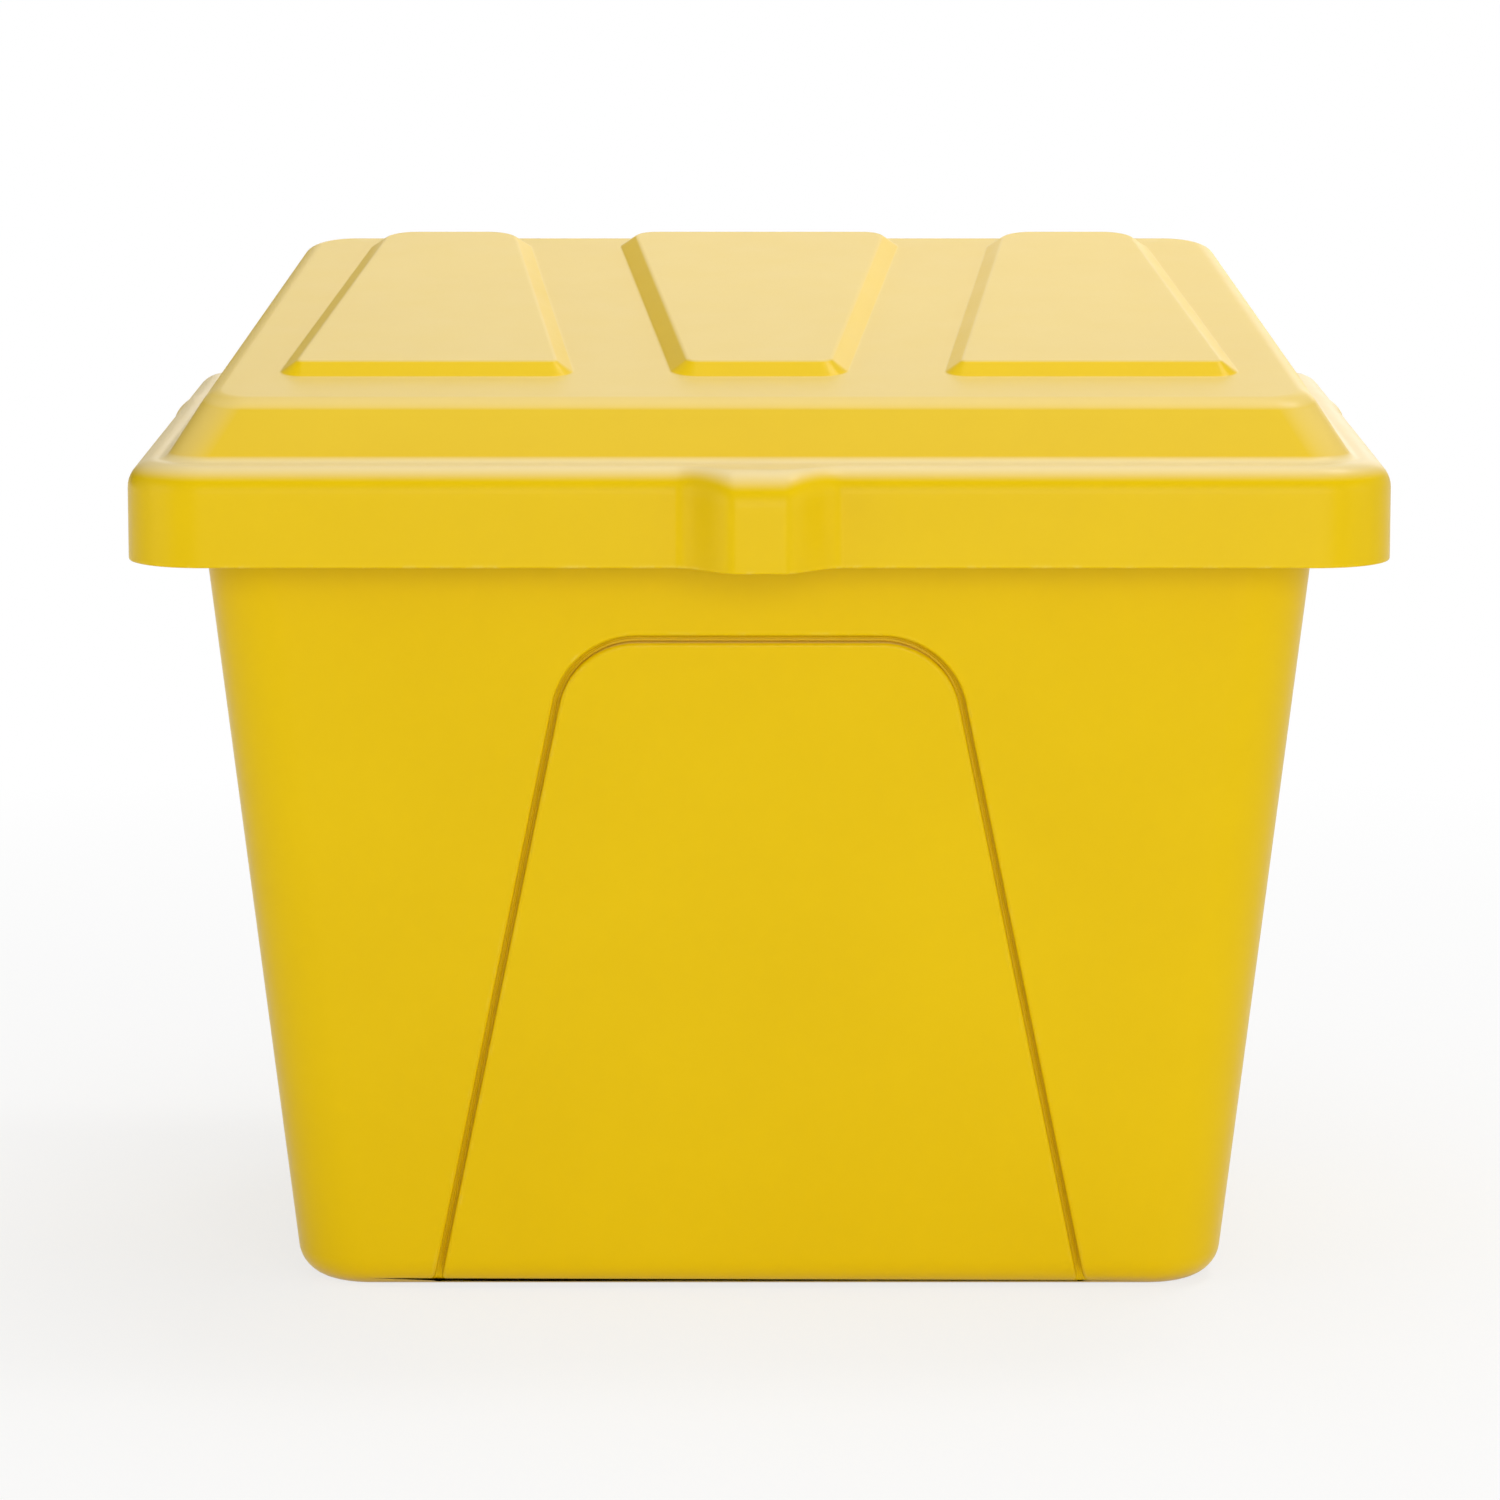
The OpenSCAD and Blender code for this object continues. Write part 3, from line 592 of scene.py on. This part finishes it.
def bracket(bm, lid, tub, sizes, side):
    """Hollow hinge bracket, pushed out of the back wall."""
    half = (LEAF_HIGH.x - LEAF_LOW.x) / 2 + sizes.side_play + sizes.stop_width
    high = LID_LOW.z - sizes.top_gap
    low = LEAF_LOW.z - sizes.margin
    foot = low - sizes.slope * (HINGE_PLANE - tub_half(lid, tub, low)[1])
    middle = side * HINGE_X

    def on_back(c):
        """Tells whether a face with this middle lies in the back wall."""
        return c.y > BACK and BASE_BAND < c.z < TUB_HIGH.z - RIM_BAND

    def on_bracket(c):
        """Tells whether a face with this middle becomes the bracket."""
        return on_back(c) and abs(c.x - middle) < half - NEAR and foot < c.z < high

    cut_columns(bm, on_back, Vector((0, 0, 1)), [foot, low, high])
    cut_columns(bm, on_back, Vector((1, 0, 0)), [middle - half, middle + half])
    chosen = [f for f in bm.faces if on_bracket(f.calc_center_median())]
    pushed = bmesh.ops.extrude_face_region(bm, geom=chosen)["geom"]
    bmesh.ops.delete(bm, geom=chosen, context="FACES_KEEP_BOUNDARY")
    for v in [g for g in pushed if isinstance(g, bmesh.types.BMVert)]:
        if v.co.z > low - NEAR:
            v.co.y = HINGE_PLANE
    bmesh.ops.remove_doubles(bm, verts=bm.verts, dist=MERGE)
    bm.normal_update()
    face = {v for v in bm.verts if abs(v.co.y - HINGE_PLANE) < NEAR and abs(v.co.x - middle) < half + NEAR}
    outer = [e for e in bm.edges if face.issuperset(e.verts) and e.calc_face_angle(0) > CREASE]
    round_edges(bm, outer, sizes.edge, segments=4)


def stop_blocks(sizes):
    """Lid stops beside both hinges, with sloping tops for the open lid."""
    high = LID_LOW.z - sizes.top_gap
    low = LEAF_LOW.z - sizes.margin + sizes.stop_foot
    arm = PIN.y - HINGE_PLANE - sizes.stop_play
    tip = HINGE_PLANE + sizes.stop_reach
    flat_end = PIN.y + ((high - PIN.z) * sin(OPEN_ANGLE) - arm) / cos(OPEN_ANGLE)
    tip_z = PIN.z + ((tip - PIN.y) * cos(OPEN_ANGLE) + arm) / sin(OPEN_ANGLE)
    sunk = HINGE_PLANE - OVERLAP
    profile = [(sunk, high - sizes.edge), (flat_end, high), (tip, tip_z), (tip, tip_z - sizes.stop_width),
               (HINGE_PLANE, low), (sunk, low)]
    inner = (LEAF_HIGH.x - LEAF_LOW.x) / 2 + sizes.side_play
    bm = bmesh.new()
    for side in (-1, 1):
        for end in (-1, 1):
            start = side * HINGE_X + end * inner - (sizes.stop_width if end < 0 else 0)
            face = bm.faces.new([bm.verts.new((start, y, z)) for y, z in profile])
            moved = bmesh.ops.extrude_face_region(bm, geom=[face])["geom"]
            bmesh.ops.translate(bm, vec=(sizes.stop_width, 0, 0),
                                verts=[g for g in moved if isinstance(g, bmesh.types.BMVert)])
    bmesh.ops.recalc_face_normals(bm, faces=bm.faces)
    crisp = [e for e in bm.edges if all(v.co.y > HINGE_PLANE - OVERLAP / 2 for v in e.verts)]
    round_edges(bm, crisp, sizes.stop_edge, segments=3)
    return as_object(bm, "lid_stops")


def groove_bar(lid, tub, groove, name, grow, cap, follow_base):
    """Bar along the arched groove, with the groove's own profile grown all round.

    Its round side lies in the wall and its flat side at the level of the cap over the wall's face. It
    follows the rounded base edge, or else runs straight on, so that the groove fades out there.
    """
    radius = groove.radius + grow
    centre_z = groove.radius - groove.depth
    lean = atan2(groove.foot_x - groove.top_x, groove.height)
    corner_turn = pi / 2 - lean
    inset = tangent(groove.corner, corner_turn)
    base_turn = pi / 2 - tub.draft
    leg_end = tangent(tub.base_edge, base_turn)
    base_steps = 12
    splay = (groove.mouth - groove.radius) / groove.depth
    bm = bmesh.new()
    verts = bmesh.ops.create_circle(bm, segments=24, radius=radius,
                                    matrix=Matrix.Translation((0, groove.height, centre_z))
                                    @ Matrix.Rotation(pi / 2, 4, "Y"))["verts"]
    for v in verts:
        if v.co.z > centre_z - NEAR:
            away = (v.co.y - groove.height) / radius
            v.co.y += away * splay * (cap - centre_z)
            v.co.z = cap if v.co.z > centre_z + NEAR else centre_z
    bmesh.ops.remove_doubles(bm, verts=verts, dist=MERGE)
    ring = list(bm.edges)

    def run(ring, vec):
        """Draws the bar straight on and returns its new end."""
        grown = bmesh.ops.extrude_edge_only(bm, edges=ring)["geom"]
        bmesh.ops.translate(bm, vec=vec, verts=[g for g in grown if isinstance(g, bmesh.types.BMVert)])
        return [g for g in grown if isinstance(g, bmesh.types.BMEdge) and g.is_boundary]

    def swing(ring, centre, axis, angle, steps, slide=(0, 0, 0)):
        """Draws the bar round a bend and returns its new end."""
        geom = [*ring, *{v for e in ring for v in e.verts}]
        last = bmesh.ops.spin(bm, geom=geom, cent=centre, axis=axis, angle=angle, steps=steps, dvec=slide)
        return [g for g in last["geom_last"] if isinstance(g, bmesh.types.BMEdge)]

    ring = run(ring, Vector((groove.top_x - inset, 0, 0)))
    arch_centre = (groove.top_x - inset, groove.height - groove.corner, 0)
    ring = swing(ring, arch_centre, (0, 0, 1), -corner_turn, steps=24)
    down = Vector((sin(lean), -cos(lean), 0))
    leg = (groove.height - inset * cos(lean) - leg_end) / cos(lean)
    if follow_base:
        ring = run(ring, down * leg)
        slide = tan(lean) * tub.base_edge * base_turn / base_steps
        ring = swing(ring, (0, leg_end, -tub.base_edge), (1, 0, 0), base_turn, base_steps, (slide, 0, 0))
        ring = run(ring, Vector((tan(lean), -cos(base_turn), -sin(base_turn))) * groove.tail)
    else:
        ring = run(ring, down * (leg + leg_end + groove.tail))
    bmesh.ops.edgenet_fill(bm, edges=ring)
    bmesh.ops.mirror(bm, geom=[*bm.verts, *bm.edges, *bm.faces], axis="X", merge_dist=MERGE)
    base_front = Matrix.Translation((0, -tub_half(lid, tub, 0.0)[1], 0))
    up_wall = Matrix.Rotation(pi / 2 + tub.draft, 4, "X")
    bmesh.ops.transform(bm, matrix=base_front @ up_wall, verts=bm.verts)
    for face in bm.faces:
        face.material_index = 1
    return as_object(bm, name)


def soften_seam(piece, width, segments):
    """Rounds the edges where a cut meets the piece, told apart by the cut's second material place."""
    bm = bmesh.new()
    bm.from_mesh(piece.data)
    seam = [e for e in bm.edges if len({f.material_index for f in e.link_faces}) == 2]
    round_edges(bm, seam, width, segments)
    for face in bm.faces:
        face.material_index = 0
    bm.to_mesh(piece.data)
    bm.free()


def build_tub(settings):
    """Tub shell with its rim, groove, hinge brackets and lid stops."""
    lid, tub = settings.bin_lid, settings.bin_tub
    groove, brackets = settings.bin_groove, settings.bin_brackets
    bm = bmesh.new()
    tub_skin(bm, lid, tub)
    for side in (-1, 1):
        bracket(bm, lid, tub, brackets, side)
    rim(bm, lid, tub)
    piece = as_object(bm, "moulded_tub")
    thicken(piece, tub.wall, tub.edge)
    combine(piece, stop_blocks(brackets), "UNION")
    combine(piece, bolt_holes(BODY_BOLTS, brackets.hole), "DIFFERENCE")
    ridge = groove_bar(lid, tub, groove, "groove_ridge", grow=tub.wall * groove.backing, cap=-tub.wall / 2,
                       follow_base=True)
    combine(piece, ridge, "UNION")
    cut = groove_bar(lid, tub, groove, "groove_cut", grow=0.0, cap=tub.wall, follow_base=False)
    combine(piece, cut, "DIFFERENCE")
    soften_seam(piece, groove.lip, segments=4)
    return piece


# Finishes

class Nodes:
    """Short way to add and join the nodes of a material or world."""

    def __init__(self, owner):
        self.owner = owner
        self.tree = owner.node_tree
        self.coordinates = self.add("ShaderNodeTexCoord").outputs
        self.shader = self.tree.nodes.get("Principled BSDF")

    def put(self, socket, value):
        """Links a socket to an output, or sets its value."""
        if isinstance(value, bpy.types.NodeSocket):
            self.tree.links.new(value, socket)
        else:
            socket.default_value = value

    def add(self, kind, inputs=None, **settings):
        """Adds a node with these inputs and settings."""
        node = self.tree.nodes.new(kind)
        for name, value in settings.items():
            setattr(node, name, value)
        for socket, value in (inputs or {}).items():
            self.put(node.inputs[socket], value)
        return node

    def noise(self, scale, detail=2.0, roughness=0.5):
        """Noise that is fixed to the piece."""
        return self.add("ShaderNodeTexNoise", {"Vector": self.coordinates["Object"], "Scale": scale,
                                               "Detail": detail, "Roughness": roughness}).outputs["Fac"]

    def ramp(self, value, low=0.0, high=1.0, start=0.0, end=1.0, kind="LINEAR"):
        """Takes a value between low and high to one between start and end."""
        inputs = {"Value": value, "From Min": low, "From Max": high, "To Min": start, "To Max": end}
        return self.add("ShaderNodeMapRange", inputs, interpolation_type=kind).outputs["Result"]

    def upward(self, vector):
        """Upward part of a vector."""
        return self.add("ShaderNodeSeparateXYZ", {0: vector}).outputs["Z"]

    def dot(self, a, b):
        """How far two directions agree."""
        return self.add("ShaderNodeVectorMath", {0: a, 1: b}, operation="DOT_PRODUCT").outputs["Value"]

    def maths(self, operation, a, b):
        """Product, larger one or the like of two values."""
        return self.add("ShaderNodeMath", {0: a, 1: b}, operation=operation).outputs["Value"]

    def mix(self, share, a, b):
        """Colour between two others."""
        node = self.add("ShaderNodeMix", data_type="RGBA")
        colours = [socket for socket in node.inputs if socket.type == "RGBA"]
        for socket, value in zip((node.inputs["Factor"], *colours), (share, a, b)):
            self.put(socket, value)
        return next(socket for socket in node.outputs if socket.type == "RGBA")

    def bump(self, height, strength, distance, below=None):
        """Fine relief, over another one where that is given."""
        inputs = {"Height": height, "Strength": strength, "Distance": distance}
        if below:
            inputs["Normal"] = below
        return self.add("ShaderNodeBump", inputs).outputs["Normal"]

    def join(self, **inputs):
        """Gives the shader its inputs and returns the material."""
        for name, value in inputs.items():
            self.put(self.shader.inputs[name.replace("_", " ")], value)
        return self.owner


def new_material(name):
    """Nodes of a new material."""
    material = bpy.data.materials.new(name)
    material.use_nodes = True
    return Nodes(material)


def rgba(colour):
    """Colour for a socket, without transparency."""
    return (*colour, 1.0)


def painted_sheen_share(n, lid):
    """Share of painted sheen: a pale painted reflection on faces that look up, with a stronger painted
    highlight round the ledge.
    """
    up = n.upward(n.coordinates["Normal"])
    height = n.upward(n.coordinates["Object"])
    front_crest = lid.ledge_z + lid.rise_front
    round_ledge = n.maths("MULTIPLY", n.ramp(height, front_crest + FADE, front_crest - FADE),
                          n.ramp(height, LID_LOW.z, lid.ledge_z - lid.shoulder))
    steep_too = n.ramp(up, low=0.44, high=0.98, end=0.80, kind="SMOOTHSTEP")
    nearly_level = n.ramp(up, low=0.72, high=0.96, end=0.41, kind="SMOOTHSTEP")
    return n.maths("MAXIMUM", nearly_level, n.maths("MULTIPLY", round_ledge, steep_too))


def rubbed_share(n, crease):
    """Share of rubbed plastic, in patches along outer edges."""
    soft = n.add("ShaderNodeBevel", {"Radius": 0.004}, samples=4).outputs["Normal"]
    sharpness = n.ramp(n.dot(soft, n.add("ShaderNodeNewGeometry").outputs["Normal"]), low=0.985, high=0.90)
    patches = n.ramp(n.noise(scale=60.0, detail=5.0, roughness=0.7), low=0.5, high=0.72)
    worn = n.maths("MULTIPLY", sharpness, patches)
    return n.maths("MULTIPLY", worn, n.ramp(crease, low=0.85, high=0.98))


def moulded_plastic(settings):
    """Semi-gloss moulded plastic with faint clouds, a painted sheen on faces that look up, painted shade in
    creases and rubbed edges.
    """
    colours = settings.bin_finishes
    n = new_material("moulded_yellow")
    clouds = n.ramp(n.noise(scale=7.0, detail=4.0, roughness=0.6), low=0.35, high=0.75)
    clean = n.mix(clouds, rgba(colours.yellow), rgba(colours.deep_yellow))
    # Painted sheen: paler colour on faces that look up and round the ledge, in place of reflection and
    # highlight
    with_painted_sheen = n.mix(painted_sheen_share(n, settings.bin_lid), clean, rgba(colours.painted_sheen))
    crease = n.add("ShaderNodeAmbientOcclusion", {"Distance": 0.012}, samples=8).outputs["AO"]
    # Painted shade: darker colour where the ambient occlusion value is low, in creases, the groove and
    # under the base's rounding
    with_painted_shade = n.mix(n.ramp(crease, low=0.45, high=0.15), with_painted_sheen, rgba(colours.painted_shade))
    colour = n.mix(rubbed_share(n, crease), with_painted_shade, rgba(colours.scuff))
    wave = n.bump(n.noise(scale=9.0, detail=1.0), strength=0.25, distance=0.0006)
    peel = n.bump(n.noise(scale=420.0), strength=0.10, distance=0.0003, below=wave)
    rough = n.ramp(n.noise(scale=25.0, detail=4.0, roughness=0.6), start=0.28, end=0.37)
    return n.join(Base_Color=colour, Roughness=rough, Normal=peel, Specular_IOR_Level=0.14)


def plated_metal(name, colour, grain):
    """Plated or bright steel with dull spots and a fine grain."""
    n = new_material(name)
    spots = n.ramp(n.noise(grain, detail=5.0, roughness=0.65), low=0.35, high=0.75)
    darker = tuple(c * 0.72 for c in colour)
    tone = n.mix(spots, rgba(colour), rgba(darker))
    rough = n.ramp(n.noise(grain * 3, detail=3.0), start=0.28, end=0.5)
    relief = n.bump(n.noise(scale=900.0), strength=0.15, distance=0.0002)
    return n.join(Base_Color=tone, Metallic=1.0, Roughness=rough, Normal=relief)


def finish_hinges(settings):
    """Gives the hinge leaves, pins and fasteners their metal finishes."""
    colours = settings.bin_finishes
    zinc = plated_metal("zinc_plate", tuple(colours.zinc), grain=90.0)
    steel = plated_metal("bright_steel", tuple(colours.steel), grain=140.0)
    for name, node in frame["nodes"].items():
        if name in ("bin_body", "lid"):
            continue
        node.data.materials.clear()
        node.data.materials.append(zinc if name.endswith("leaf") else steel)


# Stage

def pale_floor(colour):
    """Floor that keeps the bin's shadow and looks white further out."""
    n = new_material("pale_floor")
    n.join(Base_Color=rgba(colour), Roughness=0.9)
    paths = n.add("ShaderNodeLightPath").outputs
    seen = n.maths("MAXIMUM", n.maths("MAXIMUM", paths["Is Camera Ray"], paths["Is Glossy Ray"]),
                   paths["Is Transmission Ray"])
    away = n.add("ShaderNodeVectorMath", {0: n.coordinates["Object"]}, operation="LENGTH").outputs["Value"]
    whiteness = n.ramp(away, low=0.5, high=2.0, start=0.75)
    glow = n.add("ShaderNodeEmission", {"Color": (1, 1, 1, 1), "Strength": 1.0}).outputs["Emission"]
    glowing = n.maths("MULTIPLY", seen, whiteness)
    both = n.add("ShaderNodeMixShader", {0: glowing, 1: n.shader.outputs["BSDF"], 2: glow})
    n.put(n.tree.nodes["Material Output"].inputs["Surface"], both.outputs["Shader"])
    return n.owner


def build_floor(colour):
    """Wide floor under the bin."""
    bm = bmesh.new()
    bmesh.ops.create_grid(bm, x_segments=1, y_segments=1, size=FLOOR)
    floor = as_object(bm, "floor")
    floor.data.materials.append(pale_floor(colour))


def build_surroundings(stage):
    """Soft light from all round, bright low down and dim overhead and in one back corner."""
    world = bpy.data.worlds.new("studio")
    world.use_nodes = True
    n = Nodes(world)
    towards = n.coordinates["Generated"]
    level = n.ramp(n.upward(towards), high=0.8, start=stage.horizon, end=stage.zenith)
    corner = n.ramp(n.dot(towards, DARK_CORNER), low=0.84, high=0.95, start=1.0, end=stage.corner,
                    kind="SMOOTHSTEP")
    light = n.tree.nodes["Background"]
    n.put(light.inputs["Color"], (1, 1, 1, 1))
    n.put(light.inputs["Strength"], n.maths("MULTIPLY", level, corner))
    bpy.context.scene.world = world


def build_lamp(name, place, aim, size, watts):
    """Soft rectangular lamp that the camera doesn't see."""
    data = bpy.data.lights.new(name, "AREA")
    data.shape = "RECTANGLE"
    data.size, data.size_y = size
    data.energy = watts
    lamp = bpy.data.objects.new(name, data)
    lamp.location = place
    lamp.rotation_euler = (Vector(aim) - Vector(place)).to_track_quat("-Z", "Y").to_euler()
    lamp.visible_camera = False
    bpy.context.scene.collection.objects.link(lamp)


def build_camera(stage):
    """Camera in front, tilted down."""
    data = bpy.data.cameras.new("camera")
    data.lens = stage.lens
    data.sensor_width = 36.0
    data.shift_x = stage.shift
    camera = bpy.data.objects.new("camera", data)
    camera.location = (0.0, -stage.camera_y, stage.camera_z)
    camera.rotation_euler = (pi / 2 - stage.pitch, 0, 0)
    bpy.context.scene.collection.objects.link(camera)
    bpy.context.scene.camera = camera


def build_stage(settings):
    """Floor, light and camera."""
    stage = settings.bin_stage
    build_floor(settings.bin_finishes.floor)
    build_surroundings(stage)
    for name, (place, aim, size) in LAMPS.items():
        build_lamp(name, place, aim, size, getattr(stage, name))
    build_camera(stage)
    bpy.context.scene.view_settings.view_transform = "Standard"


# Operators

class BIN_OT_tub(bpy.types.Operator):
    """Build the moulded tub"""
    bl_idname = "bin.tub"
    bl_label = "Tub"

    def execute(self, context):
        piece = build_tub(context.scene)
        check_closed(piece)
        shade(piece, moulded_plastic(context.scene))
        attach(piece, "body")
        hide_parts("bin_body")
        return {"FINISHED"}


class BIN_OT_lid(bpy.types.Operator):
    """Build the skirted lid"""
    bl_idname = "bin.lid"
    bl_label = "Lid"

    def execute(self, context):
        piece = build_lid(context.scene)
        check_closed(piece)
        shade(piece, moulded_plastic(context.scene))
        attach(piece, "lid")
        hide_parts("lid")
        return {"FINISHED"}


class BIN_OT_hinges(bpy.types.Operator):
    """Finish the hinges and their fasteners"""
    bl_idname = "bin.hinges"
    bl_label = "Hinges"

    def execute(self, context):
        finish_hinges(context.scene)
        return {"FINISHED"}


class BIN_OT_stage(bpy.types.Operator):
    """Set up the floor, light and camera"""
    bl_idname = "bin.stage"
    bl_label = "Stage"

    def execute(self, context):
        build_stage(context.scene)
        return {"FINISHED"}


class BIN_PT_panel(bpy.types.Panel):
    """Lists the steps of the bin"""
    bl_idname = "BIN_PT_panel"
    bl_label = "Storage Bin"
    bl_space_type = "VIEW_3D"
    bl_region_type = "UI"
    bl_category = "Storage Bin"

    def draw(self, context):
        for operator in OPERATORS:
            self.layout.operator(operator.bl_idname)


GROUPS = {"bin_lid": LidSizes, "bin_pads": PadSizes, "bin_nose": NoseSizes, "bin_tub": TubSizes,
          "bin_groove": GrooveSizes, "bin_brackets": BracketSizes, "bin_finishes": Finishes,
          "bin_stage": StageSettings}
OPERATORS = (BIN_OT_stage, BIN_OT_tub, BIN_OT_lid, BIN_OT_hinges)


def register():
    """Adds the classes and the settings to Blender."""
    for cls in (*GROUPS.values(), *OPERATORS, BIN_PT_panel):
        bpy.utils.register_class(cls)
    for name, cls in GROUPS.items():
        setattr(bpy.types.Scene, name, PointerProperty(type=cls))


def unregister():
    """Takes the settings and the classes out of Blender."""
    for name in GROUPS:
        delattr(bpy.types.Scene, name)
    for cls in (BIN_PT_panel, *reversed(OPERATORS), *reversed(GROUPS.values())):
        bpy.utils.unregister_class(cls)


def main():
    """Builds the bin and its stage."""
    register()
    for operator in OPERATORS:
        group, name = operator.bl_idname.split(".")
        getattr(getattr(bpy.ops, group), name)()


if __name__ == "__main__":
    main()
